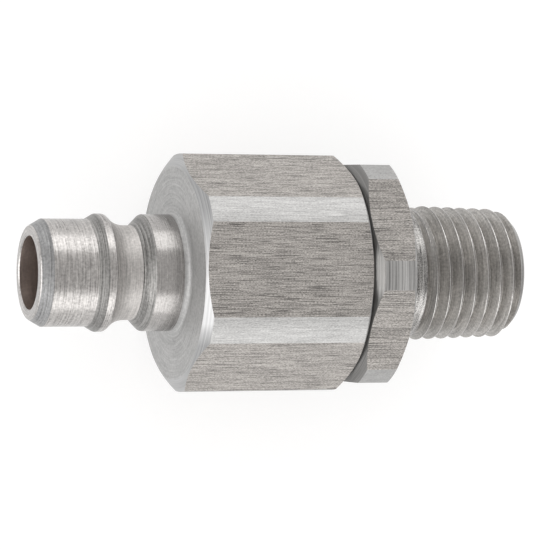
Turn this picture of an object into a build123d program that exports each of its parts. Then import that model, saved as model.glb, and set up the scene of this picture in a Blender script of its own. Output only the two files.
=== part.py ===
from build123d import *
import math
import os

# Plug half of a hydraulic quick coupler, uncoupled and shut. All sizes are in millimetres.
# It lies along X: the origin is the centre of the nose's end face, and the pipe thread points along +X.
# Two opposite flats of the body face up and down (Z). Lengths below run along X unless they say otherwise.

# Hexagon bar that both outer pieces are turned from
across_flats = 22.0
corner_diameter = 23.9
corner_chamfer_angle = 30.0  # measured from the end face
adapter_clocking = 33.0  # turn of the adapter's hexagon about X, where tightening left it

# Nose, from its end face back to the hexagon
nose_length = 14.9
nose_diameter = 10.7
tip_chamfer_length = 1.27
tip_chamfer_angle = 30.0  # measured from the axis
tip_rounding = 0.4
nose_land_length = 5.8  # end face to the foot of the ridge
ridge_height = 0.53  # over the nose
ridge_ramp_angle = 30.0
ridge_land_length = 0.74
ridge_rounding = 0.4
groove_diameter = 9.45
groove_floor_length = 1.83
groove_flank_angle = 45.0
groove_front_fillet = 2.6
shoulder_diameter = 11.7
shoulder_rounding = 0.3
shoulder_root_fillet = 0.9

# Body
body_length = 17.4
body_front_face_diameter = 21.4
body_back_face_diameter = 22.0
mouth_diameter = 7.3
mouth_edge_break = 0.1
seat_lead = 0.9  # the valve seat starts this far ahead of the hexagon
seat_angle = 45.0  # measured from the axis
chamber_diameter = 12.4

# Screwed joint between body and adapter
socket_depth = 9.8
pilot_diameter = 16.5
seal_land_length = 3.0
union_thread_diameter = 18.0
union_mouth_chamfer = 0.6
union_relief_diameter = 16.6
union_relief_length = 1.2
spigot_end_gap = 0.3
spigot_edge_chamfer = 0.3
turned_fit = 0.05  # radial clearance of turned pieces in each other

# Adapter
adapter_hex_length = 4.7
adapter_face_diameter = 21.6
thread_end_length = 14.0  # hexagon to the end of the pipe thread
neck_diameter = 13.2
neck_length = 3.5
neck_ramp_angle = 45.0
port_diameter = 8.0
port_edge_chamfer = 0.4
guide_pocket_diameter = 11.8
guide_pocket_depth = 6.6
stem_room_diameter = 10.0
stem_room_length = 4.1
throat_angle = 30.0  # measured from the axis

# Pipe thread, cut by a V tool that moves outwards along the taper
pipe_thread_pitch = 1.411
pipe_thread_taper = 16.0  # length in which the diameter grows by one
pipe_thread_end_diameter = 13.15
pipe_thread_end_chamfer = 1.1
thread_flank_angle = 30.0  # measured from the plane across the axis
thread_flat = 0.05  # width left on crests and roots
thread_full_depth_start = 3.32  # hexagon to the place where the groove has its full depth
thread_start_clocking = 144.0  # turn about X of that place, from +Y
thread_fade_turns = 1.0  # ahead of it, in which the groove rises out of the metal
thread_fade_rise = 0.95  # per length
thread_cut_margin = 0.02  # how far the tool stands over the crests

# Body seal
seal_cord_diameter = 1.5
seal_groove_diameter = 14.2
seal_groove_width = 1.9
seal_groove_offset = 0.6  # end of the spigot to the groove
seal_fit = 0.02

# Poppet
poppet_tip_depth = 4.6
front_stem_diameter = 3.0
front_stem_fillet = 1.0
poppet_lip_diameter = 8.6
poppet_flange_diameter = 10.2
poppet_flange_thickness = 1.5
spring_hub_diameter = 5.2
spring_hub_length = 1.5
rear_stem_diameter = 3.8
rear_stem_overhang = 2.2  # how far the rear stem shows behind the guide
stem_end_chamfer = 0.4
poppet_seal_cord = 1.2
poppet_seal_groove_width = 1.4
seat_gap = 0.05  # between the closed valve and its seat
poppet_travel = 4.0
stop_gap = 0.3  # left between poppet and guide hub at full travel

# Guide
guide_thickness = 1.6
guide_hub_diameter = 5.5
guide_port_inner_diameter = 7.4
guide_port_outer_diameter = 9.9
guide_leg_count = 3
guide_leg_width = 1.6

# Spring
spring_wire = 0.7
spring_mean_diameter = 6.4
spring_turns = 7.0
spring_closed_turns = 1.0  # of them, at each end
spring_ease_turns = 1.0  # over which the pitch opens up
spring_coil_gap = 0.05  # between the closed coils
spring_end_gap = 0.05
spring_points_per_turn = 10


def slope(angle):
    """Rise over run of a line at this angle, in degrees."""
    return math.tan(math.radians(angle))


# The ridge, the thread's depth, and places along X
ridge_diameter = nose_diameter + 2 * ridge_height
thread_depth = (pipe_thread_pitch / 2 - thread_flat) / slope(thread_flank_angle)
ridge_front = nose_land_length + ridge_height / slope(ridge_ramp_angle)
ridge_back = ridge_front + ridge_land_length
groove_front = ridge_back + (ridge_diameter - groove_diameter) / 2 / slope(groove_flank_angle)
groove_back = groove_front + groove_floor_length
shoulder_front = groove_back + (shoulder_diameter - groove_diameter) / 2 / slope(groove_flank_angle)
hex_front = nose_length
hex_back = hex_front + body_length
adapter_back = hex_back + adapter_hex_length
part_end = adapter_back + thread_end_length

seat_front = hex_front - seat_lead
seat_back = seat_front + (chamber_diameter - mouth_diameter) / 2 / slope(seat_angle)
socket_ledge = hex_back - socket_depth
spigot_end = socket_ledge + spigot_end_gap
pilot_back = spigot_end + seal_land_length
guide_back = spigot_end + guide_pocket_depth
guide_front = guide_back - guide_thickness
throat_front = guide_back + stem_room_length


def seat_radius(x):
    """Radius of the body's conical seat at x."""
    return mouth_diameter / 2 + (x - seat_front) * slope(seat_angle)


def cone_place(radius):
    """Where the shut poppet's cone, parallel to the seat, has this radius."""
    gap = seat_gap / math.cos(math.radians(seat_angle))
    return seat_front + (radius + gap - mouth_diameter / 2) / slope(seat_angle)


poppet_cone_front = cone_place(front_stem_diameter / 2)
poppet_lip = cone_place(poppet_lip_diameter / 2)
poppet_groove_back = poppet_lip + poppet_seal_groove_width
poppet_flange_back = poppet_groove_back + poppet_flange_thickness
spring_hub_end = poppet_flange_back + spring_hub_length
guide_hub_front = spring_hub_end + poppet_travel + stop_gap
rear_stem_end = guide_back + rear_stem_overhang


def turned(section):
    """A section drawn as (x, radius), turned about the part's axis."""
    return revolve(section, Axis.X)


def section(*points):
    """A closed face through (x, radius) points."""
    return make_face(Polyline(*points, close=True))


def rounded(face, x, radius, rounding):
    """The face with its corner at (x, radius) rounded."""
    corner = face.vertices().sort_by_distance(Vector(x, radius, 0))[0]
    return fillet(corner, rounding)


def hexagon_bar(start, end, clocking=0.0):
    """A length of hexagon bar with two flats facing up and down, then turned by the clocking."""
    bar = extrude(Plane.YZ * RegularPolygon(across_flats / 2, 6, major_radius=False), end - start)
    return Rot(X=clocking) * (Pos(X=start) * bar)


def hexagon_outline(start, end, front_face_diameter, back_face_diameter):
    """Turned corners of a hexagon, chamfered at both faces."""
    corner = corner_diameter / 2
    front_face = front_face_diameter / 2
    back_face = back_face_diameter / 2
    return [
        (start, front_face),
        (start + (corner - front_face) * slope(corner_chamfer_angle), corner),
        (end - (corner - back_face) * slope(corner_chamfer_angle), corner),
        (end, back_face),
    ]


def body_blank():
    """Nose and hexagon, turned from bar, still solid."""
    nose = nose_diameter / 2
    ridge = ridge_diameter / 2
    groove = groove_diameter / 2
    shoulder = shoulder_diameter / 2
    tip = nose - tip_chamfer_length * slope(tip_chamfer_angle)
    profile = section(
        (0, 0),
        (0, tip),
        (tip_chamfer_length, nose),
        (nose_land_length, nose),
        (ridge_front, ridge),
        (ridge_back, ridge),
        (groove_front, groove),
        (groove_back, groove),
        (shoulder_front, shoulder),
        (hex_front, shoulder),
        *hexagon_outline(hex_front, hex_back, body_front_face_diameter, body_back_face_diameter),
        (hex_back, 0),
    )
    profile = rounded(profile, 0, tip, tip_rounding)
    profile = rounded(profile, ridge_front, ridge, ridge_rounding)
    profile = rounded(profile, ridge_back, ridge, ridge_rounding)
    profile = rounded(profile, groove_front, groove, groove_front_fillet)
    profile = rounded(profile, shoulder_front, shoulder, shoulder_rounding)
    profile = rounded(profile, hex_front, shoulder, shoulder_root_fillet)
    return turned(profile) & hexagon_bar(0, hex_back)


def body_passage():
    """Everything bored out of the body: mouth, valve seat, chamber and the adapter's socket."""
    mouth = mouth_diameter / 2
    chamber = chamber_diameter / 2
    pilot = pilot_diameter / 2
    thread = union_thread_diameter / 2
    return turned(
        section(
            (0, 0),
            (0, mouth + mouth_edge_break),
            (mouth_edge_break, mouth),
            (seat_front, mouth),
            (seat_back, chamber),
            (socket_ledge, chamber),
            (socket_ledge, pilot),
            (pilot_back, pilot),
            (pilot_back + thread - pilot, thread),
            (hex_back - union_mouth_chamfer, thread),
            (hex_back, thread + union_mouth_chamfer),
            (hex_back, 0),
        )
    )


def plug_body():
    return body_blank() - body_passage()


def pipe_radius(x):
    """Radius over the crests of the taper pipe thread at x."""
    return pipe_thread_end_diameter / 2 + (part_end - x) / pipe_thread_taper / 2


def groove_cutter(start, root_radius, length, fall, clocking):
    """A thread groove's V, wound right-hand from start; its root falls this much per length."""
    top_radius = root_radius + thread_depth + thread_cut_margin
    half_root = thread_flat / 2
    half_top = half_root + (top_radius - root_radius) * slope(thread_flank_angle)
    tool = section(
        (start - half_root, root_radius),
        (start - half_top, top_radius),
        (start + half_top, top_radius),
        (start + half_root, root_radius),
    )
    cone_angle = -math.degrees(math.atan(fall))
    helix = Helix(pipe_thread_pitch, length, root_radius, cone_angle=cone_angle)
    path = Pos(X=start) * Rot(X=90) * Rot(Y=90) * helix
    return Rot(X=clocking) * sweep(tool, path, is_frenet=True)


def pipe_thread_cutters():
    """The groove along the taper, and ahead of it the turn in which it rises out of the metal."""
    start = adapter_back + thread_full_depth_start
    root = pipe_radius(start) - thread_depth
    taper = 1 / pipe_thread_taper / 2
    full_length = part_end + pipe_thread_pitch - start
    fade_length = thread_fade_turns * pipe_thread_pitch
    fade_start = start - fade_length
    fade_root = root + fade_length * thread_fade_rise
    fade_clocking = thread_start_clocking - 360 * thread_fade_turns
    return [
        groove_cutter(start, root, full_length, taper, thread_start_clocking),
        groove_cutter(fade_start, fade_root, fade_length, thread_fade_rise, fade_clocking),
    ]


def adapter_blank():
    """Spigot, hexagon, neck and the thread's taper, turned from bar, still solid."""
    land = pilot_diameter / 2 - turned_fit
    floor = seal_groove_diameter / 2
    thread = union_thread_diameter / 2 - turned_fit
    relief = union_relief_diameter / 2
    relief_front = hex_back - union_relief_length
    neck = neck_diameter / 2
    thread_front = adapter_back + neck_length
    ramp_back = thread_front + (pipe_radius(thread_front) - neck) / slope(neck_ramp_angle)
    chamfer_front = part_end - pipe_thread_end_chamfer
    groove_start = spigot_end + seal_groove_offset
    groove_end = groove_start + seal_groove_width
    profile = section(
        (spigot_end, 0),
        (spigot_end, land - spigot_edge_chamfer),
        (spigot_end + spigot_edge_chamfer, land),
        (groove_start, land),
        (groove_start, floor),
        (groove_end, floor),
        (groove_end, land),
        (pilot_back, land),
        (pilot_back + thread - land, thread),
        (relief_front, thread),
        (relief_front + thread - relief, relief),
        (hex_back, relief),
        *hexagon_outline(hex_back, adapter_back, adapter_face_diameter, adapter_face_diameter),
        (adapter_back, neck),
        (thread_front, neck),
        (ramp_back, pipe_radius(ramp_back)),
        (chamfer_front, pipe_radius(chamfer_front)),
        (part_end, pipe_radius(chamfer_front) - pipe_thread_end_chamfer),
        (part_end, 0),
    )
    return turned(profile) & hexagon_bar(spigot_end, part_end, adapter_clocking)


def adapter_passage():
    """Guide pocket, room for the rear stem, throat and the port through the pipe thread."""
    pocket = guide_pocket_diameter / 2
    room = stem_room_diameter / 2
    port = port_diameter / 2
    throat_back = throat_front + (room - port) / slope(throat_angle)
    return turned(
        section(
            (spigot_end, 0),
            (spigot_end, pocket),
            (guide_back, pocket),
            (guide_back, room),
            (throat_front, room),
            (throat_back, port),
            (part_end - port_edge_chamfer, port),
            (part_end, port + port_edge_chamfer),
            (part_end, 0),
        )
    )


def end_adapter():
    adapter = adapter_blank() - adapter_passage()
    for cutter in pipe_thread_cutters():
        adapter -= cutter
    return adapter


def adapter_seal():
    """O-ring, squeezed between the floor of the adapter's groove and the body's pilot bore."""
    inner = seal_groove_diameter / 2 + seal_fit
    outer = pilot_diameter / 2 - seal_fit
    height = outer - inner
    width = math.pi * seal_cord_diameter**2 / 4 / height
    centre = spigot_end + seal_groove_offset + seal_groove_width / 2
    cord = RectangleRounded(width, height, min(width, height) / 2 - seal_fit)
    return turned(Pos(centre, (inner + outer) / 2) * cord)


def seal_ring_radius():
    """Radius of the poppet seal's centre line, where its cord just clears the seat."""
    middle = (poppet_lip + poppet_groove_back) / 2
    reach = (poppet_seal_cord / 2 + seat_gap) / math.cos(math.radians(seat_angle))
    return seat_radius(middle) - reach


def valve_poppet():
    """Front stem, cone with its seal groove, flange, spring hub and rear stem, turned in one piece."""
    stem = front_stem_diameter / 2
    lip = poppet_lip_diameter / 2
    floor = seal_ring_radius() - poppet_seal_cord / 2 - seal_fit
    flange = poppet_flange_diameter / 2
    hub = spring_hub_diameter / 2
    rear = rear_stem_diameter / 2
    profile = section(
        (poppet_tip_depth, 0),
        (poppet_tip_depth, stem - stem_end_chamfer),
        (poppet_tip_depth + stem_end_chamfer, stem),
        (poppet_cone_front, stem),
        (poppet_lip, lip),
        (poppet_lip, floor),
        (poppet_groove_back, floor),
        (poppet_groove_back, flange),
        (poppet_flange_back, flange),
        (poppet_flange_back, hub),
        (spring_hub_end, hub),
        (spring_hub_end, rear),
        (rear_stem_end - stem_end_chamfer, rear),
        (rear_stem_end, rear - stem_end_chamfer),
        (rear_stem_end, 0),
    )
    return turned(rounded(profile, poppet_cone_front, stem, front_stem_fillet))


def poppet_seal():
    """O-ring in the poppet's groove."""
    middle = (poppet_lip + poppet_groove_back) / 2
    return turned(Pos(middle, seal_ring_radius()) * Circle(poppet_seal_cord / 2))


def guide_port_cutter():
    """Ring of flow ports, less the legs that are left standing between them."""
    ring = Circle(guide_port_outer_diameter / 2) - Circle(guide_port_inner_diameter / 2)
    leg = Pos(X=guide_port_outer_diameter / 2) * Rectangle(guide_port_outer_diameter, guide_leg_width)
    legs = PolarLocations(0, guide_leg_count) * leg
    return Pos(X=guide_front) * extrude(Plane.YZ * (ring - legs), guide_thickness)


def valve_guide():
    """Spider: a plate on the adapter's ledge and a hub that the poppet's rear stem slides in."""
    plate = guide_pocket_diameter / 2 - turned_fit
    hub = guide_hub_diameter / 2
    hole = rear_stem_diameter / 2 + turned_fit
    blank = turned(
        section(
            (guide_hub_front, hole),
            (guide_hub_front, hub),
            (guide_front, hub),
            (guide_front, plate),
            (guide_back, plate),
            (guide_back, hole),
        )
    )
    return blank - guide_port_cutter()


def coil_ease(turn):
    """How far the spring has gone from closed (0) to active pitch (1) at this turn."""
    inward = min(turn, spring_turns - turn) - spring_closed_turns
    ease = min(max(inward / spring_ease_turns, 0), 1)
    return (1 - math.cos(math.pi * ease)) / 2


def valve_spring():
    """Compression spring with a closed, ground coil at each end."""
    start = poppet_flange_back + spring_end_gap
    end = guide_front - spring_end_gap
    radius = spring_mean_diameter / 2
    closed_pitch = spring_wire + spring_coil_gap
    open_length = end - start - spring_turns * closed_pitch
    pitch_gain = open_length / (spring_turns - 2 * spring_closed_turns - spring_ease_turns)
    points = []
    place = start
    for step in range(round(spring_turns * spring_points_per_turn) + 1):
        turn = step / spring_points_per_turn
        angle = 2 * math.pi * turn
        points.append((place, radius * math.cos(angle), radius * math.sin(angle)))
        middle = turn + 0.5 / spring_points_per_turn
        place += (closed_pitch + pitch_gain * coil_ease(middle)) / spring_points_per_turn
    path = Spline(*points)
    coils = sweep(Plane(origin=path @ 0, z_dir=path % 0) * Circle(spring_wire / 2), path)
    ground = Pos(X=(start + end) / 2) * Box(end - start, 4 * radius, 4 * radius)
    return coils & ground


def main():
    parts = {
        "plug_body": plug_body(),
        "end_adapter": end_adapter(),
        "adapter_seal": adapter_seal(),
        "valve_poppet": valve_poppet(),
        "poppet_seal": poppet_seal(),
        "valve_guide": valve_guide(),
        "valve_spring": valve_spring(),
    }
    os.makedirs("parts", exist_ok=True)
    for name, shape in parts.items():
        export_step(shape, f"parts/{name}.step")


main()
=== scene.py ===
# %% [markdown]
# # Hydraulic quick coupler, plug half
#
# The object is one half of a hydraulic coupler, turned from hexagon bar. It lies along X: a nose with a
# locking groove on the left, a hexagon body, a shorter hexagon and a taper pipe thread on the right.
# model.glb holds the CAD model, in metres. The two outer pieces are modelled again here, because
# their threads, small roundings and separate finishes are what the eye sees. Inside, the poppet, its
# guide and the seals keep their CAD meshes, and the spring is a copy of its CAD mesh.

# %% Load the imported model
import math

import bpy
from mathutils import Matrix, Vector


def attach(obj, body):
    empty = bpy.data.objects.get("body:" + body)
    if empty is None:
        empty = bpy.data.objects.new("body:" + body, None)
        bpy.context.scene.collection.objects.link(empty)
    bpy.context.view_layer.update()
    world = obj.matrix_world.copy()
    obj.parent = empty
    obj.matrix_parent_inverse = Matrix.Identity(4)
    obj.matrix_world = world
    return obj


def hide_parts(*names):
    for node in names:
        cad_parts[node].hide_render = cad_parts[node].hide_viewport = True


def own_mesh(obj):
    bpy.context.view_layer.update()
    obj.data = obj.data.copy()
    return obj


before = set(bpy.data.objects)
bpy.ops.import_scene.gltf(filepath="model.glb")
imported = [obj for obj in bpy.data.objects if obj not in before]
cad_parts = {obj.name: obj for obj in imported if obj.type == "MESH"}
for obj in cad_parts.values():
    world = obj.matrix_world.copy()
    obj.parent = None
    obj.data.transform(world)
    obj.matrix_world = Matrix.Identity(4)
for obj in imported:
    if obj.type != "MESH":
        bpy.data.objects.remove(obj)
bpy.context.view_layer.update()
mm = 0.001
print("CAD nodes:", sorted(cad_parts))

# %% [markdown]
# ## Camera
#
# The photograph looks almost straight down on the lying part, turned towards the nose's end, from close
# enough that the thread end looks a little smaller. A camera that is aimed by its own axes needs no
# tracking constraint, so its three axes are worked out and set as one matrix.

# %% Camera
camera_turn = math.radians(19.73)
camera_lean = math.radians(1.58)
camera_distance = 0.3123
camera_drop = 0.000233
camera_lens = 201.7
sensor_width = 36
aim_place = 25.84
aim_point = Vector((aim_place * mm, 0, 0))

to_camera = Vector((
    -math.sin(camera_turn),
    -math.cos(camera_turn) * math.sin(camera_lean),
    math.cos(camera_turn) * math.cos(camera_lean),
))
image_up = Vector((0, math.cos(camera_lean), math.sin(camera_lean)))
image_right = image_up.cross(to_camera)

camera_data = bpy.data.cameras.new("camera")
camera_data.lens = camera_lens
camera_data.sensor_width = sensor_width
camera = bpy.data.objects.new("camera", camera_data)
bpy.context.scene.collection.objects.link(camera)
axes = Matrix((image_right, image_up, to_camera)).transposed()
camera_place = aim_point + to_camera * camera_distance - image_up * camera_drop
camera.matrix_world = Matrix.Translation(camera_place) @ axes.to_4x4()
bpy.context.scene.camera = camera
print("Camera at", [round(c, 4) for c in camera.location])

# %% [markdown]
# ## Drawing and spinning an outline
#
# Every round surface of this part came off a lathe, so each piece starts as one outline of stations
# (place along X, radius) in millimetres. One vertex is extruded from station to station, as a pen line
# would go, and the line is spun about X. A third number at a station is the rounding of that corner, and
# the helper replaces such a corner by a short arc that touches both of its lines.

# %% Outline helpers
turn_steps = 192
arc_step = math.radians(9)
merge_distance = 0.001 * mm


def slope(degrees):
    """Rise over run of a line at this angle."""
    return math.tan(math.radians(degrees))


def corner_arc(before, corner, after, rounding):
    """Points of the arc that rounds a corner between its two neighbours."""
    back = (before - corner).normalized()
    ahead = (after - corner).normalized()
    half = back.angle(ahead) / 2
    middle = (back + ahead).normalized()
    centre = corner + middle * (rounding / math.sin(half))
    start = corner + back * (rounding / math.tan(half)) - centre
    turn = start.angle_signed(corner + ahead * (rounding / math.tan(half)) - centre)
    count = max(2, math.ceil(abs(turn) / arc_step))
    return [centre + Matrix.Rotation(-turn * i / count, 2) @ start for i in range(count + 1)]


def rounded_outline(stations):
    """The outline's points, with an arc in place of every corner that states a rounding."""
    corners = [Vector(station[:2]) for station in stations]
    points = []
    for i, station in enumerate(stations):
        if len(station) == 3:
            after = corners[(i + 1) % len(corners)]
            points += corner_arc(corners[i - 1], corners[i], after, station[2])
        else:
            points.append(corners[i])
    return points


def draw_outline(name, stations):
    """A closed line through the stations, in the half-plane +Y, left in edit mode with all selected."""
    points = [Vector((x, radius, 0)) * mm for x, radius in rounded_outline(stations)]
    bpy.ops.object.select_all(action="DESELECT")
    bpy.ops.mesh.primitive_plane_add(size=mm)
    piece = bpy.context.object
    piece.name = name
    piece.data.name = name
    bpy.ops.object.mode_set(mode="EDIT")
    bpy.ops.mesh.select_all(action="SELECT")
    bpy.ops.mesh.merge(type="CENTER")
    bpy.ops.transform.translate(value=points[0])
    for before, after in zip(points, points[1:] + points[:1]):
        bpy.ops.mesh.extrude_vertices_move(TRANSFORM_OT_translate={"value": after - before})
    bpy.ops.mesh.select_all(action="SELECT")
    bpy.ops.mesh.remove_doubles(threshold=merge_distance)
    return piece


def spin_outline():
    """Spins the selected line all the way round X and closes the surface."""
    bpy.ops.mesh.spin(steps=turn_steps, angle=2 * math.pi, center=(0, 0, 0), axis=(1, 0, 0))
    bpy.ops.mesh.select_all(action="SELECT")
    bpy.ops.mesh.remove_doubles(threshold=merge_distance)
    bpy.ops.mesh.normals_make_consistent(inside=False)


# %% [markdown]
# ## Milling the flats
#
# Both outer pieces are turned from 22 mm hexagon bar, so the lathe only reached the bar's corners. The
# order is turned round here: the turned shape comes first, and six bisecting planes then take away what
# lies outside the bar. Each cut is filled, and leaves one clean flat with the curved edge that a chamfer
# cuts on a hexagon.

# %% Flats
flat_count = 6
across_flats = 22.0
bisect_threshold = merge_distance / 10


def flat_direction(clocking, side):
    """Outward direction of one of the six flats."""
    angle = math.radians(clocking + 360 / flat_count * side)
    return Vector((0, -math.sin(angle), math.cos(angle)))


def cut_flats(clocking):
    """Cuts the edited piece down to the hexagon bar."""
    for side in range(flat_count):
        outward = flat_direction(clocking, side)
        bpy.ops.mesh.select_all(action="SELECT")
        bpy.ops.mesh.bisect(
            plane_co=outward * (across_flats / 2 * mm),
            plane_no=outward,
            use_fill=True,
            clear_outer=True,
            threshold=bisect_threshold,
        )


# %% [markdown]
# ## Body with its nose
#
# From the left: a nose with a 30 degree tip chamfer and a rounded end, a small ridge, the locking groove
# for the socket's balls with its 45 degree flanks, a shoulder, and the hexagon with its two turned
# chamfers. The line then goes back inside, through the adapter's socket, the valve chamber, the valve
# seat and the mouth. These are the CAD model's own sizes, but the fillet where the shoulder meets the
# hexagon is smaller here, as the photograph shows it, and small edge breaks are added.

# %% Nose sizes
edge_break = 0.12

nose = 10.7 / 2
nose_length = 14.9
tip_chamfer = 1.27
tip_angle = 30.0
tip_rounding = 0.4
ridge_height = 0.53
ridge_angle = 30.0
ridge_land = 0.74
ridge_rounding = 0.4
ridge = nose + ridge_height
ridge_foot = 5.8
ridge_front = ridge_foot + (ridge - nose) / slope(ridge_angle)
ridge_back = ridge_front + ridge_land
groove = 9.45 / 2
groove_floor = 1.83
groove_fillet = 2.6
groove_front = ridge_back + ridge - groove
groove_back = groove_front + groove_floor
shoulder = 11.7 / 2
shoulder_rounding = 0.3
shoulder_root = 0.55
shoulder_front = groove_back + shoulder - groove
print("Ridge from", round(ridge_foot, 2), "and shoulder from", round(shoulder_front, 2), "mm")

# %% Hexagon sizes
bar_corner = 23.9 / 2
chamfer_angle = 30.0
body_clocking = 0.0
body_length = 17.4
body_back = nose_length + body_length
body_front_face = 21.4 / 2
body_back_face = 22.0 / 2


def hexagon_stations(start, end, front_face, back_face):
    """Stations of a hexagon's faces, chamfers and turned corners."""
    front_chamfer = (bar_corner - front_face) * slope(chamfer_angle)
    back_chamfer = (bar_corner - back_face) * slope(chamfer_angle)
    return [
        (start, front_face, edge_break),
        (start + front_chamfer, bar_corner),
        (end - back_chamfer, bar_corner),
        (end, back_face, edge_break),
    ]


# %% Passage sizes
mouth = 7.3 / 2
mouth_break = 0.1
chamber = 12.4 / 2
seat_lead = 0.9
seat_front = nose_length - seat_lead
seat_back = seat_front + chamber - mouth
socket_depth = 9.8
socket_ledge = body_back - socket_depth
spigot_gap = 0.3
seal_land = 3.0
pilot = 16.5 / 2
pilot_back = socket_ledge + spigot_gap + seal_land
union_thread = 18.0 / 2
union_mouth = 0.6
print("Valve seat from", seat_front, "and socket from", round(socket_ledge, 2), "mm")

# %% Body
body_stations = [
    (0, nose - tip_chamfer * slope(tip_angle), tip_rounding),
    (tip_chamfer, nose, edge_break),
    (ridge_foot, nose, edge_break),
    (ridge_front, ridge, ridge_rounding),
    (ridge_back, ridge, ridge_rounding),
    (groove_front, groove, groove_fillet),
    (groove_back, groove, edge_break),
    (shoulder_front, shoulder, shoulder_rounding),
    (nose_length, shoulder, shoulder_root),
    *hexagon_stations(nose_length, body_back, body_front_face, body_back_face),
    (body_back, union_thread + union_mouth),
    (body_back - union_mouth, union_thread),
    (pilot_back + union_thread - pilot, union_thread),
    (pilot_back, pilot),
    (socket_ledge, pilot),
    (socket_ledge, chamber),
    (seat_back, chamber),
    (seat_front, mouth),
    (mouth_break, mouth),
    (0, mouth + mouth_break),
]

plug_body = draw_outline("plug_body_turned", body_stations)
spin_outline()
cut_flats(body_clocking)
bpy.ops.object.mode_set(mode="OBJECT")
print("Body:", len(plug_body.data.polygons), "faces")

# %% [markdown]
# ## Adapter with its pipe thread
#
# The adapter's hexagon is 22 mm across flats as well, but tightening left it turned by about half a
# side, so one of its corners faces the camera. Behind it come a plain neck, a short ramp and the tapered
# land that the thread is cut in. The spigot, its seal groove and the passages inside are drawn as in the
# CAD model. The hexagon's front chamfer reaches further in than there, because the dark gap behind the
# body looks that wide, and the neck has a small fillet at its foot.

# %% Adapter sizes
adapter_clocking = 33.0
adapter_length = 4.7
adapter_back = body_back + adapter_length
adapter_front_face = 21.0 / 2
adapter_face = 21.6 / 2
neck = 13.2 / 2
neck_fillet = 0.3
neck_length = 3.5
neck_end = adapter_back + neck_length
thread_end_length = 14.0
part_end = adapter_back + thread_end_length
thread_chamfer = 1.1
chamfer_front = part_end - thread_chamfer
crest_at_end = 13.15 / 2
taper = 1 / 32


def crest_radius(x):
    """Radius over the taper thread's crests at x, which grows away from the end."""
    return crest_at_end + (part_end - x) * taper


ramp_back = neck_end + crest_radius(neck_end) - neck
print("Thread land from", round(ramp_back, 2), "to", round(part_end, 2), "mm")

# %% Spigot and port sizes
fit = 0.05
spigot_end = socket_ledge + spigot_gap
spigot_break = 0.3
spigot_land = pilot - fit
spigot_thread = union_thread - fit
seal_groove = 14.2 / 2
seal_groove_offset = 0.6
seal_groove_width = 1.9
seal_groove_start = spigot_end + seal_groove_offset
seal_groove_end = seal_groove_start + seal_groove_width
relief = 16.6 / 2
relief_length = 1.2
relief_front = body_back - relief_length
guide_pocket = 11.8 / 2
guide_pocket_depth = 6.6
guide_back = spigot_end + guide_pocket_depth
stem_room = 10.0 / 2
stem_room_length = 4.1
throat_front = guide_back + stem_room_length
throat_angle = 30.0
port = 8.0 / 2
port_break = 0.4
print("Spigot from", round(spigot_end, 2), "and throat from", round(throat_front, 2), "mm")

# %% Adapter blank
adapter_stations = [
    (spigot_end, spigot_land - spigot_break),
    (spigot_end + spigot_break, spigot_land),
    (seal_groove_start, spigot_land),
    (seal_groove_start, seal_groove),
    (seal_groove_end, seal_groove),
    (seal_groove_end, spigot_land),
    (pilot_back, spigot_land),
    (pilot_back + spigot_thread - spigot_land, spigot_thread),
    (relief_front, spigot_thread),
    (relief_front + spigot_thread - relief, relief),
    (body_back, relief),
    *hexagon_stations(body_back, adapter_back, adapter_front_face, adapter_face),
    (adapter_back, neck, neck_fillet),
    (neck_end, neck),
    (ramp_back, crest_radius(ramp_back)),
    (chamfer_front, crest_radius(chamfer_front)),
    (part_end, crest_radius(chamfer_front) - thread_chamfer, edge_break),
    (part_end, port + port_break),
    (part_end - port_break, port),
    (throat_front + (stem_room - port) / slope(throat_angle), port),
    (throat_front, stem_room),
    (guide_back, stem_room),
    (guide_back, guide_pocket),
    (spigot_end, guide_pocket),
]

end_adapter = draw_outline("end_adapter_turned", adapter_stations)
spin_outline()
cut_flats(adapter_clocking)
bpy.ops.object.mode_set(mode="OBJECT")
print("Adapter blank:", len(end_adapter.data.polygons), "faces")

# %% [markdown]
# ## Cutting the thread
#
# A taper pipe thread is a V groove that a tool cuts while it moves outwards along the part. The same is
# done here: the tool's V is drawn once, the Screw modifier sweeps it along the helix, the swept cutter is
# drawn outwards along the taper and lifted out of the metal at its start, and a Boolean takes it away.
# That gives true crests, roots and the fading first turn, which a bump map can't.

# %% Thread cutter
thread_pitch = 25.4 / 18
thread_depth = 1.129
thread_flank = 30.0
root_flat = 0.05
cutter_reach = 0.035
cutter_start = 38.34
cutter_turns = 10
cutter_sides = 4
vanish_front = 40.3
vanish_rise = 0.95


def thread_lift(x):
    """How far the cutter's groove at x stands outside that at its own start."""
    return (cutter_start - x) * taper + max(0, vanish_front - x) * vanish_rise


def draw_cutter():
    """The V of the tool, at the cutter's start."""
    root = crest_radius(cutter_start) - thread_depth
    top = crest_radius(cutter_start) + cutter_reach
    half_top = root_flat / 2 + (top - root) * slope(thread_flank)
    return draw_outline("thread_cutter", [
        (cutter_start - root_flat / 2, root),
        (cutter_start - half_top, top),
        (cutter_start + half_top, top),
        (cutter_start + root_flat / 2, root),
    ])


def sweep_cutter(cutter):
    """Sweeps the V along a helix round X."""
    bpy.ops.object.mode_set(mode="OBJECT")
    screw = cutter.modifiers.new("helix", "SCREW")
    screw.axis = "X"
    screw.screw_offset = thread_pitch * mm
    screw.iterations = cutter_turns
    screw.steps = turn_steps
    screw.render_steps = turn_steps
    bpy.ops.object.modifier_apply(modifier=screw.name)


def lift_cutter(cutter):
    """Moves every vertex outwards or inwards, onto the taper and out of the metal at the start."""
    for vertex in cutter.data.vertices:
        x, y, z = vertex.co
        radius = math.hypot(y, z)
        scale = 1 + thread_lift(x / mm) * mm / radius
        vertex.co = (x, y * scale, z * scale)


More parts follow.
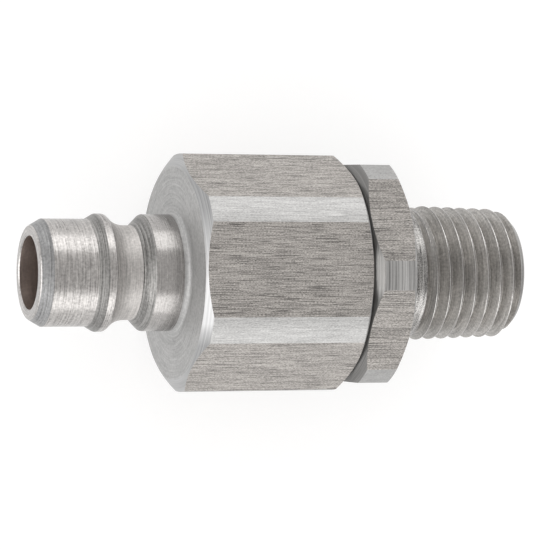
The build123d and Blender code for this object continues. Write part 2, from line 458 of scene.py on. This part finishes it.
def close_cutter():
    """Fills the two open ends, and turns all faces outwards."""
    bpy.ops.object.mode_set(mode="EDIT")
    bpy.ops.mesh.select_all(action="SELECT")
    bpy.ops.mesh.fill_holes(sides=cutter_sides)
    bpy.ops.mesh.select_all(action="SELECT")
    bpy.ops.mesh.normals_make_consistent(inside=False)
    bpy.ops.object.mode_set(mode="OBJECT")


# %% Cut the thread
def pick(piece):
    """Selects this piece alone and makes it the active one."""
    bpy.ops.object.select_all(action="DESELECT")
    piece.select_set(True)
    bpy.context.view_layer.objects.active = piece


cutter = draw_cutter()
sweep_cutter(cutter)
lift_cutter(cutter)
close_cutter()

pick(end_adapter)
cut = end_adapter.modifiers.new("thread", "BOOLEAN")
cut.object = cutter
cut.operation = "DIFFERENCE"
cut.solver = "EXACT"
bpy.ops.object.modifier_apply(modifier=cut.name)
bpy.data.objects.remove(cutter)
print("Adapter with thread:", len(end_adapter.data.polygons), "faces")

# %% [markdown]
# ## Smooth shading
#
# Spun surfaces shade smooth, and real edges stay sharp. Neighbouring steps of the spin differ by under
# two degrees and the arcs by nine at most, so an angle between those and the shallowest real edge keeps
# both.

# %% Smooth shading
smooth_angle = math.radians(14)

for piece in (plug_body, end_adapter):
    pick(piece)
    bpy.ops.object.shade_smooth_by_angle(angle=smooth_angle)

# %% [markdown]
# ## Writing materials as sums
#
# A shader's maths reads best as Python. The class below wraps a socket, and each operator adds its Math
# node. Every other node comes from the finish's one method, which sets a node up before it links it.


# %% Shader maths
class Value:
    """A socket that takes part in sums: each operator adds a Math node to its finish."""

    def __init__(self, finish, socket):
        self.finish = finish
        self.socket = socket

    def sum(self, operation, first, second):
        return self.finish.node("ShaderNodeMath", {"operation": operation}, {0: first, 1: second})

    def __add__(self, other):
        return self.sum("ADD", self, other)

    def __radd__(self, other):
        return self.sum("ADD", other, self)

    def __sub__(self, other):
        return self.sum("SUBTRACT", self, other)

    def __rsub__(self, other):
        return self.sum("SUBTRACT", other, self)

    def __mul__(self, other):
        return self.sum("MULTIPLY", self, other)

    def __rmul__(self, other):
        return self.sum("MULTIPLY", other, self)

    def __truediv__(self, other):
        return self.sum("DIVIDE", self, other)


# %% Finish
noise_roughness = 0.6


class Finish:
    """A material: one Principled shader and the nodes that feed it."""

    def __init__(self, name):
        self.material = bpy.data.materials.new(name)
        self.material.use_nodes = True
        self.nodes = self.material.node_tree.nodes
        self.links = self.material.node_tree.links
        self.shader = self.nodes["Principled BSDF"]

    def feed(self, socket, given):
        """Links a value to the socket, or sets the socket to a plain number or colour."""
        if isinstance(given, Value):
            self.links.new(given.socket, socket)
        else:
            socket.default_value = given

    def node(self, kind, settings, inputs, output=0):
        """Adds a node, sets it up, feeds its sockets, and returns one of its outputs."""
        added = self.nodes.new(kind)
        for name, setting in settings.items():
            if name == "stops":
                self.set_stops(added.color_ramp.elements, setting)
            else:
                setattr(added, name, setting)
        for name, given in inputs.items():
            self.feed(added.inputs[name], given)
        return Value(self, added.outputs[output])

    def set_stops(self, elements, stops):
        """Gives a ramp its stops, as (place, grey)."""
        while len(elements) < len(stops):
            elements.new(1)
        for element, (place, grey) in zip(elements, stops):
            element.position = place
            element.color = (grey, grey, grey, 1)

    def millimetres(self):
        """The object's own coordinates, as three numbers in millimetres."""
        metres = self.node("ShaderNodeTexCoord", {}, {}, "Object")
        place = self.node("ShaderNodeVectorMath", {"operation": "SCALE"}, {0: metres, "Scale": 1 / mm})
        return [self.node("ShaderNodeSeparateXYZ", {}, {0: place}, axis) for axis in "XYZ"]

    def noise(self, x, y, z, detail=2.0, contrast=1.0):
        """Soft noise with one swing per unit of x, y and z, spread about one half."""
        place = self.node("ShaderNodeCombineXYZ", {}, {"X": x, "Y": y, "Z": z})
        inputs = {"Vector": place, "Scale": 1.0, "Detail": detail, "Roughness": noise_roughness}
        raw = self.node("ShaderNodeTexNoise", {"noise_dimensions": "3D"}, inputs, "Fac")
        return 0.5 + (raw - 0.5) * contrast

    def root(self, value):
        """A value's square root."""
        return self.node("ShaderNodeMath", {"operation": "SQRT"}, {0: value})

    def ramp(self, value, stops):
        """Carries a value from stop to stop, as (place, grey)."""
        return self.node("ShaderNodeValToRGB", {"stops": stops}, {"Fac": value}, "Color")

    def colour(self, factor, low, high):
        """A colour between two, by the factor."""
        settings = {"data_type": "RGBA", "clamp_factor": True}
        return self.node("ShaderNodeMix", settings, {0: factor, 6: (*low, 1), 7: (*high, 1)}, 2)

    def bump(self, height, depth):
        """The surface's normal, tilted by a height of this depth in millimetres."""
        return self.node("ShaderNodeBump", {}, {"Height": height, "Distance": depth * mm, "Strength": 1.0})

    def steel(self, colour, roughness, normal):
        """Makes it bare metal."""
        self.feed(self.shader.inputs["Base Color"], colour)
        self.feed(self.shader.inputs["Roughness"], roughness)
        self.feed(self.shader.inputs["Metallic"], 1.0)
        self.feed(self.shader.inputs["Normal"], normal)
        return self.material


# %% [markdown]
# ## Drawn flats
#
# The flats are the bar's own skin, cold drawn through a die. The die leaves fine streaks along the bar,
# a twentieth of a millimetre wide and some millimetres long, with shorter grain and darker scratches
# among them. Noise whose coordinates are squeezed across the bar and stretched along it gives them all.
# The first numbers below are its swings per millimetre, and the last ones share out tone and height. The
# corner strips look drawn as well, only smoother and shinier, so they come from the same function.

# %% Drawn flats
bend_swings = 0.3
streaks_across = 19
grain_along = 5
grain_across = 20
scratches_across = 15
scratches_shorter = 1.2
scratch_stops = [(0.29, 0.0), (0.35, 1.0)]
cloud_along = 0.2
cloud_across = 0.6
streak_tone = 0.45
grain_tone = 0.45
cloud_tone = 0.1
streak_height = 0.5
grain_height = 0.3
scratch_height = 0.2
streak_gloss = 0.1
skin_depth = 0.01


def drawn_steel(name, dark, light, wave, mark, along=0.3, roughness=0.72):
    """Bar skin from dark to light. Wave bends its streaks, and mark is how dark its scratches are."""
    finish = Finish(name)
    x, y, z = finish.millimetres()
    bend = finish.noise(x * bend_swings, y * bend_swings, z * bend_swings) * wave
    streaks = finish.noise(
        x * along, (y + bend) * streaks_across, (z + bend) * streaks_across,
        detail=1.0, contrast=2.6,
    )
    grain = finish.noise(
        x * grain_along, y * grain_across, z * grain_across,
        detail=1.0, contrast=3.8,
    )
    lines = finish.noise(
        x * along * scratches_shorter, (y - bend) * scratches_across, (z - bend) * scratches_across,
        detail=0.0,
    )
    scratches = finish.ramp(lines, scratch_stops)
    cloud = finish.noise(x * cloud_along, y * cloud_across, z * cloud_across)
    skin = streaks * streak_tone + grain * grain_tone + cloud * cloud_tone
    tone = skin * (1 - mark + scratches * mark)
    height = streaks * streak_height + grain * grain_height + scratches * scratch_height
    gloss = roughness - streaks * streak_gloss
    return finish.steel(finish.colour(tone, dark, light), gloss, finish.bump(height, skin_depth))


body_flats = drawn_steel(
    "drawn_flats", dark=(0.11, 0.105, 0.10), light=(0.71, 0.677, 0.644),
    wave=0.15, mark=0.85,
)
adapter_flats = drawn_steel(
    "drawn_flats_long", dark=(0.09, 0.086, 0.082), light=(0.62, 0.591, 0.561),
    wave=0.12, mark=0.8, along=0.14,
)
corner_steel = drawn_steel(
    "drawn_corners", dark=(0.24, 0.238, 0.235), light=(0.49, 0.487, 0.48),
    wave=0.1, mark=0.15, roughness=0.42,
)
print("Drawn steel:", body_flats.name, adapter_flats.name, corner_steel.name)

# %% [markdown]
# ## Turned surfaces
#
# A lathe tool leaves rings. On a cylinder they follow one another along X, and on a face they follow the
# radius, so one number that grows with both draws them everywhere. The rings tilt the surface along the
# part only, so a highlight stays narrow round the part and spreads along it, as on real turned metal.
# Grain breaks the rings up where a surface is rougher, and wander is how fast they change round the part.

# %% Turned steel
feed_on_faces = 0.6
haze_swings = 0.4
haze_share = 0.1
ring_gloss = 0.08


def turned_steel(
    name, dark, light, ring, depth, roughness,
    contrast=2.0, grain_size=0.25, grain_share=0.4, wander=0.25,
):
    """Bare steel with lathe rings of about this width and depth, and grain of this size, in millimetres."""
    finish = Finish(name)
    x, y, z = finish.millimetres()
    radius = finish.root(y * y + z * z)
    feed = (x + radius * feed_on_faces) * (1 / ring)
    rings = finish.noise(feed, y * wander, z * wander, detail=3.0, contrast=contrast)
    grain = finish.noise(x / grain_size, y / grain_size, z / grain_size, detail=3.0, contrast=contrast)
    haze = finish.noise(x * haze_swings, y * haze_swings, z * haze_swings)
    tone = rings * (1 - haze_share - grain_share) + grain * grain_share + haze * haze_share
    height = rings * (1 - grain_share) + grain * grain_share
    gloss = roughness + (rings - 0.5) * ring_gloss
    return finish.steel(finish.colour(tone, dark, light), gloss, finish.bump(height, depth))


# %% Finishes of the nose
nose_steel = turned_steel(
    "turned_nose", dark=(0.14, 0.135, 0.131), light=(0.68, 0.656, 0.638),
    ring=0.1, depth=0.005, roughness=0.29, contrast=2.6,
)
chamfer_steel = turned_steel(
    "turned_chamfer", dark=(0.13, 0.13, 0.131), light=(0.44, 0.44, 0.443),
    ring=0.1, depth=0.014, roughness=0.38, contrast=3.0, grain_share=0.35, wander=0.15,
)
flank_steel = turned_steel(
    "turned_flank", dark=(0.08, 0.079, 0.076), light=(0.42, 0.411, 0.40),
    ring=0.12, depth=0.014, roughness=0.38, contrast=3.6, grain_share=0.25, wander=0.15,
)
groove_steel = turned_steel(
    "turned_groove", dark=(0.30, 0.289, 0.28), light=(0.70, 0.675, 0.655),
    ring=0.12, depth=0.006, roughness=0.58, contrast=2.6,
)
shoulder_steel = turned_steel(
    "turned_shoulder", dark=(0.22, 0.213, 0.207), light=(0.52, 0.502, 0.489),
    ring=0.1, depth=0.004, roughness=0.24, contrast=2.6,
)
print("Nose steels:", nose_steel.name, chamfer_steel.name, flank_steel.name)

# %% Finishes of the hexagons, the thread and the bores
faced_steel = turned_steel(
    "faced_steel", dark=(0.25, 0.249, 0.247), light=(0.64, 0.637, 0.632),
    ring=0.1, depth=0.01, roughness=0.6,
)
banded_steel = turned_steel(
    "banded_corners", dark=(0.16, 0.158, 0.155), light=(0.60, 0.594, 0.587),
    ring=0.15, depth=0.015, roughness=0.4, contrast=3.6, grain_share=0.05, wander=0.05,
)
neck_steel = turned_steel(
    "rough_neck", dark=(0.05, 0.049, 0.047), light=(0.52, 0.507, 0.493),
    ring=0.15, depth=0.008, roughness=0.24, contrast=4.0, grain_size=0.12, grain_share=0.45,
)
crest_steel = turned_steel(
    "thread_crests", dark=(0.28, 0.274, 0.267), light=(0.74, 0.728, 0.714),
    ring=0.1, depth=0.004, roughness=0.2,
)
thread_steel = turned_steel(
    "cut_thread", dark=(0.24, 0.233, 0.224), light=(0.69, 0.67, 0.646),
    ring=0.12, depth=0.012, roughness=0.48, contrast=3.0,
)
bore_steel = turned_steel(
    "bored_steel", dark=(0.28, 0.234, 0.212), light=(0.57, 0.476, 0.43),
    ring=0.3, depth=0.008, roughness=0.45,
)
print("Other steels:", faced_steel.name, thread_steel.name, bore_steel.name)

# %% [markdown]
# ## Chamfers with painted light
#
# The two hexagons' front chamfers are turned as well. Each has a painted highlight over a part of its way
# round, where a low lamp's reflection would lie, and painted shade towards its sides. Stops from one side
# of the bar to the other say how bright this painted light is, a ramp carries it from stop to stop, and
# fine rings lie over it.

# %% Chamfers with painted highlight and shade
chamfer_rings = 7
chamfer_wander = 0.1
painted_light_share = 0.7
chamfer_roughness = 0.45
chamfer_ring_depth = 0.01


def painted_light_steel(name, dark, light, stops):
    """Ringed steel with painted highlight and shade: its brightness follows stops of (place across the bar
    from 0 to 1, brightness).
    """
    finish = Finish(name)
    x, y, z = finish.millimetres()
    radius = finish.root(y * y + z * z)
    rings = finish.noise(
        radius * chamfer_rings, y * chamfer_wander, z * chamfer_wander,
        detail=2.0, contrast=2.4,
    )
    # Painted highlight and shade: brightness set by place across the bar, in place of a lamp's reflection.
    painted_light = finish.ramp(y * (0.5 / bar_corner) + 0.5, stops)
    tone = painted_light * painted_light_share + rings * (1 - painted_light_share)
    return finish.steel(
        finish.colour(tone, dark, light), chamfer_roughness, finish.bump(rings, chamfer_ring_depth)
    )


# The body's chamfer: painted highlight on the -Y side of the middle, painted shade further out on both sides.
body_chamfer_painted_light = painted_light_steel(
    "front_chamfer", dark=(0.22, 0.221, 0.223), light=(0.72, 0.72, 0.722),
    stops=[
        (0.05, 0.45), (0.12, 0.15), (0.19, 0.1), (0.24, 0.5), (0.28, 1.0),
        (0.46, 1.0), (0.55, 0.6), (0.75, 0.15), (0.88, 0.15), (0.95, 0.45),
    ],
)
# The adapter's chamfer: painted highlight across the middle, painted shade at the sides.
adapter_chamfer_painted_light = painted_light_steel(
    "adapter_chamfer", dark=(0.12, 0.118, 0.115), light=(0.44, 0.434, 0.425),
    stops=[(0.38, 0.3), (0.42, 1.0), (0.55, 1.0), (0.59, 0.3)],
)
print("Chamfer steels with painted light:", body_chamfer_painted_light.name, adapter_chamfer_painted_light.name)

# %% [markdown]
# ## Giving each face its finish
#
# A finish belongs to how a face was made. A flat is known by its direction and place. Every other face
# is told by where it lies along the part, how far from the axis it is, and its lean, which is its
# normal's share of X: 0 on a face that runs along the axis, -1 on one that looks towards the nose's end
# and 1 on one that looks towards the thread's.

# %% Telling faces apart
flat_tolerance = math.radians(1)
touching = 0.01
near = 0.05
level = 0.1
leaning = 0.3
steep = 0.5
square_on = 0.98


def on_flat(point, normal, clocking):
    """Whether a face, by its centre and normal, is one of the hexagon's flats."""
    for side in range(flat_count):
        outward = flat_direction(clocking, side)
        if normal.dot(outward) > math.cos(flat_tolerance):
            if abs(point.dot(outward) - across_flats / 2 * mm) < touching * mm:
                return True
    return False


def give_finishes(piece, choose, finishes):
    """Adds the finishes to the piece and gives each face the one that choose names."""
    for material in finishes.values():
        piece.data.materials.append(material)
    order = list(finishes)
    for face in piece.data.polygons:
        face.material_index = order.index(choose(face.center, face.normal))
    print(piece.name, "finishes:", ", ".join(order))


# %% Body's finishes
tip_lean = math.sin(math.radians(tip_angle))
groove_lip = 0.2
room_front = nose_length + 5
room_radius = 10.0


def in_body_passage(x, radius, outward):
    """Whether a face of the body belongs to its mouth, its valve room or its socket."""
    if radius < mouth + touching:
        return True
    if outward < -near and x > mouth_break:
        return True
    return x > room_front and radius < room_radius


def nose_finish(x, lean):
    """The finish of a face ahead of the hexagon."""
    if x < tip_chamfer and abs(lean + tip_lean) < level:
        return "chamfer"
    if ridge_foot < x < ridge_front and lean < -leaning:
        return "flank"
    if groove_back < x < shoulder_front and lean < -steep:
        return "flank"
    if ridge_back + groove_lip < x < groove_back:
        return "groove"
    if x > shoulder_front:
        return "shoulder" if x < nose_length - shoulder_root else "faced"
    return "nose"


def body_finish(centre, normal):
    """The finish of a face of the body."""
    x = centre.x / mm
    from_axis = math.hypot(centre.y, centre.z)
    radius = from_axis / mm
    outward = (normal.y * centre.y + normal.z * centre.z) / from_axis
    if on_flat(centre, normal, body_clocking):
        return "flat"
    if in_body_passage(x, radius, outward):
        return "bore"
    if radius > bar_corner - near and abs(normal.x) < level:
        return "corner"
    if x > nose_length + 2 * touching and -square_on < normal.x < -leaning:
        return "front"
    if x > nose_length - touching and abs(normal.x) > leaning:
        return "faced"
    return nose_finish(x, normal.x)


give_finishes(plug_body, body_finish, {
    "flat": body_flats,
    "bore": bore_steel,
    "corner": corner_steel,
    "faced": faced_steel,
    "nose": nose_steel,
    "chamfer": chamfer_steel,
    "flank": flank_steel,
    "front": body_chamfer_painted_light,
    "groove": groove_steel,
    "shoulder": shoulder_steel,
})

# %% Adapter's finishes
end_lean = math.sin(math.radians(45))
crest_depth = 0.04
top_share = 0.9
front_reach = 1


def thread_finish(x, radius, lean):
    """The finish of a face of the neck or the thread."""
    if x < adapter_back + neck_fillet or x < neck_end and abs(radius - neck) < near:
        return "neck"
    if x > chamfer_front and abs(lean - end_lean) < level:
        return "end"
    if radius > crest_radius(x) - crest_depth and abs(lean) < level:
        return "crest"
    return "thread"


def adapter_finish(centre, normal):
    """The finish of a face of the adapter. Only the corner on top, towards the camera, has bands."""
    x = centre.x / mm
    radius = math.hypot(centre.y, centre.z) / mm
    if on_flat(centre, normal, adapter_clocking):
        return "flat"
    if x < body_back - touching or radius < port + touching:
        return "bore"
    if radius < port + port_break + touching:
        return "faced"
    if x > adapter_back + touching:
        return thread_finish(x, radius, normal.x)
    if radius > bar_corner - near and abs(normal.x) < level:
        return "banded" if centre.z > radius * mm * top_share else "corner"
    if normal.x < -leaning and x < body_back + front_reach:
        return "chamfer"
    return "faced"


give_finishes(end_adapter, adapter_finish, {
    "flat": adapter_flats,
    "bore": bore_steel,
    "banded": banded_steel,
    "corner": corner_steel,
    "faced": faced_steel,
    "chamfer": adapter_chamfer_painted_light,
    "neck": neck_steel,
    "thread": thread_steel,
    "crest": crest_steel,
    "end": flank_steel,
})

# %% [markdown]
# ## Pieces inside
#
# The poppet, its guide and the two O-rings show only through the mouth and the port, if at all. Their
# CAD meshes are already right, so each just gets a finish through its object's material slot.

# %% Inner finishes
mould_grain = 6
rubber_roughness = 0.5
rubber_gloss = 0.15
rubber_depth = 0.004


def moulded_rubber(name, dark, light):
    """Seal rubber with a faint mould grain."""
    finish = Finish(name)
    x, y, z = finish.millimetres()
    grain = finish.noise(x * mould_grain, y * mould_grain, z * mould_grain, detail=3.0)
    finish.feed(finish.shader.inputs["Base Color"], finish.colour(grain, dark, light))
    finish.feed(finish.shader.inputs["Roughness"], rubber_roughness + grain * rubber_gloss)
    finish.feed(finish.shader.inputs["Normal"], finish.bump(grain, rubber_depth))
    return finish.material


poppet_steel = turned_steel(
    "turned_poppet", dark=(0.30, 0.29, 0.27), light=(0.46, 0.45, 0.43),
    ring=0.2, depth=0.005, roughness=0.32,
)
guide_steel = turned_steel(
    "turned_guide", dark=(0.34, 0.335, 0.325), light=(0.5, 0.49, 0.48),
    ring=0.2, depth=0.005, roughness=0.36,
)
seal_rubber = moulded_rubber(
    "seal_rubber", dark=(0.012, 0.012, 0.013), light=(0.035, 0.035, 0.036),
)

inner_finishes = {
    "valve_poppet": poppet_steel,
    "valve_guide": guide_steel,
    "poppet_seal": seal_rubber,
    "adapter_seal": seal_rubber,
}
for name, material in inner_finishes.items():
    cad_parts[name].material_slots[0].material = material
print("Inner pieces:", ", ".join(inner_finishes))

# %% [markdown]
# ## Spring
#
# The spring stands between the sliding poppet and the fixed guide, so it gets shorter as the poppet is
# pushed in. A CAD node can't change its shape, so a copy of the coils, with its points merged, takes its
# place. Its wire is drawn, as the bar is, so it has a drawn finish.

# %% Spring
spring_smooth_angle = math.radians(40)
spring_wire = drawn_steel(
    "spring_wire", dark=(0.28, 0.28, 0.28), light=(0.5, 0.5, 0.5),
    wave=0.5, mark=0.3,
)

spring = bpy.data.objects.new("valve_spring_coils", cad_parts["valve_spring"].data.copy())
bpy.context.scene.collection.objects.link(spring)
pick(spring)
bpy.ops.object.mode_set(mode="EDIT")
bpy.ops.mesh.select_all(action="SELECT")
bpy.ops.mesh.remove_doubles(threshold=merge_distance)
bpy.ops.object.mode_set(mode="OBJECT")
bpy.ops.object.shade_smooth_by_angle(angle=spring_smooth_angle)
spring.data.materials.clear()
spring.data.materials.append(spring_wire)

# %% [markdown]
# ## Hand the pieces over
#
# Each new piece, listed with its CAD node and that node's material slot, rides on the housing and stands for
# the node.

# %% Ride and replace
handed_over = (
    (plug_body, "plug_body", "stainless_steel"),
    (end_adapter, "end_adapter", "stainless_steel"),
    (spring, "valve_spring", "spring_steel"),
)
for piece, node, slot in handed_over:
    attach(piece, "housing")
    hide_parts(node)

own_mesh(spring)

# %% [markdown]
# ## Floor, lights and surroundings
#
# The part lies on a white sweep. The floor is lit and takes the shadow, and a light of its own, seen only
# by camera, glossy and transmission rays, carries it to white. Two long softboxes stand low on both
# sides, so a round surface shows a bright band at either side of its middle, as the nose does. A smaller
# and brighter one beyond the nose lights the faces that look that way.

# %% Floor
floor_level = -11.95
floor_size = 8.0
floor_grey = 0.5
floor_roughness = 0.9
floor_glow = 0.54

bpy.ops.object.select_all(action="DESELECT")
bpy.ops.mesh.primitive_plane_add(size=floor_size, location=(0, 0, floor_level * mm))
floor = bpy.context.object
floor.name = "floor"

floor_finish = Finish("pale_floor")
floor_finish.feed(floor_finish.shader.inputs["Base Color"], (floor_grey, floor_grey, floor_grey, 1))
floor_finish.feed(floor_finish.shader.inputs["Roughness"], floor_roughness)
seen = floor_finish.node("ShaderNodeLightPath", {}, {}, "Is Camera Ray")
mirrored = floor_finish.node("ShaderNodeLightPath", {}, {}, "Is Glossy Ray")
through = floor_finish.node("ShaderNodeLightPath", {}, {}, "Is Transmission Ray")
glow = (seen + mirrored + through) * floor_glow
floor_finish.feed(floor_finish.shader.inputs["Emission Color"], glow)
floor_finish.feed(floor_finish.shader.inputs["Emission Strength"], 1.0)
floor.data.materials.append(floor_finish.material)

# %% Softboxes
softbox_distance = 0.35
side_azimuth = 80
side_elevation = 24
side_width = 0.5
side_height = 0.26
side_brightness = 1.36
nose_azimuth = 193
nose_elevation = 13
nose_width = 0.40
nose_height = 0.16
nose_brightness = 2.5


def softbox(name, direction, width, height, brightness):
    """A soft lamp in this direction from the part, with its width level and a brightness of 1 for white."""
    lamp = bpy.data.lights.new(name, "AREA")
    lamp.shape = "RECTANGLE"
    lamp.size = width
    lamp.size_y = height
    lamp.energy = brightness * math.pi * width * height
    holder = bpy.data.objects.new(name, lamp)
    bpy.context.scene.collection.objects.link(holder)
    level_side = Vector((-direction.y, direction.x, 0)).normalized()
    lamp_axes = Matrix((level_side, direction.cross(level_side), direction)).transposed()
    holder.matrix_world = Matrix.Translation(aim_point + direction * softbox_distance) @ lamp_axes.to_4x4()
    holder.visible_camera = False


def low_direction(azimuth, elevation):
    """A direction from the part, by its angle from +X and its angle above the floor."""
    turn = math.radians(azimuth)
    rise = math.radians(elevation)
    return Vector((math.cos(turn) * math.cos(rise), math.sin(turn) * math.cos(rise), math.sin(rise)))


for name, azimuth in (("softbox_far", side_azimuth), ("softbox_near", -side_azimuth)):
    softbox(name, low_direction(azimuth, side_elevation), side_width, side_height, side_brightness)
softbox("softbox_nose", low_direction(nose_azimuth, nose_elevation), nose_width, nose_height, nose_brightness)
print("Softboxes at", softbox_distance, "m from the part")

# %% Surroundings
world_white = (1, 0.988, 0.976, 1)
world_strength = 0.775

world = bpy.data.worlds.new("studio")
bpy.context.scene.world = world
world.use_nodes = True
world.node_tree.nodes["Background"].inputs["Color"].default_value = world_white
world.node_tree.nodes["Background"].inputs["Strength"].default_value = world_strength
bpy.context.scene.view_settings.view_transform = "Standard"
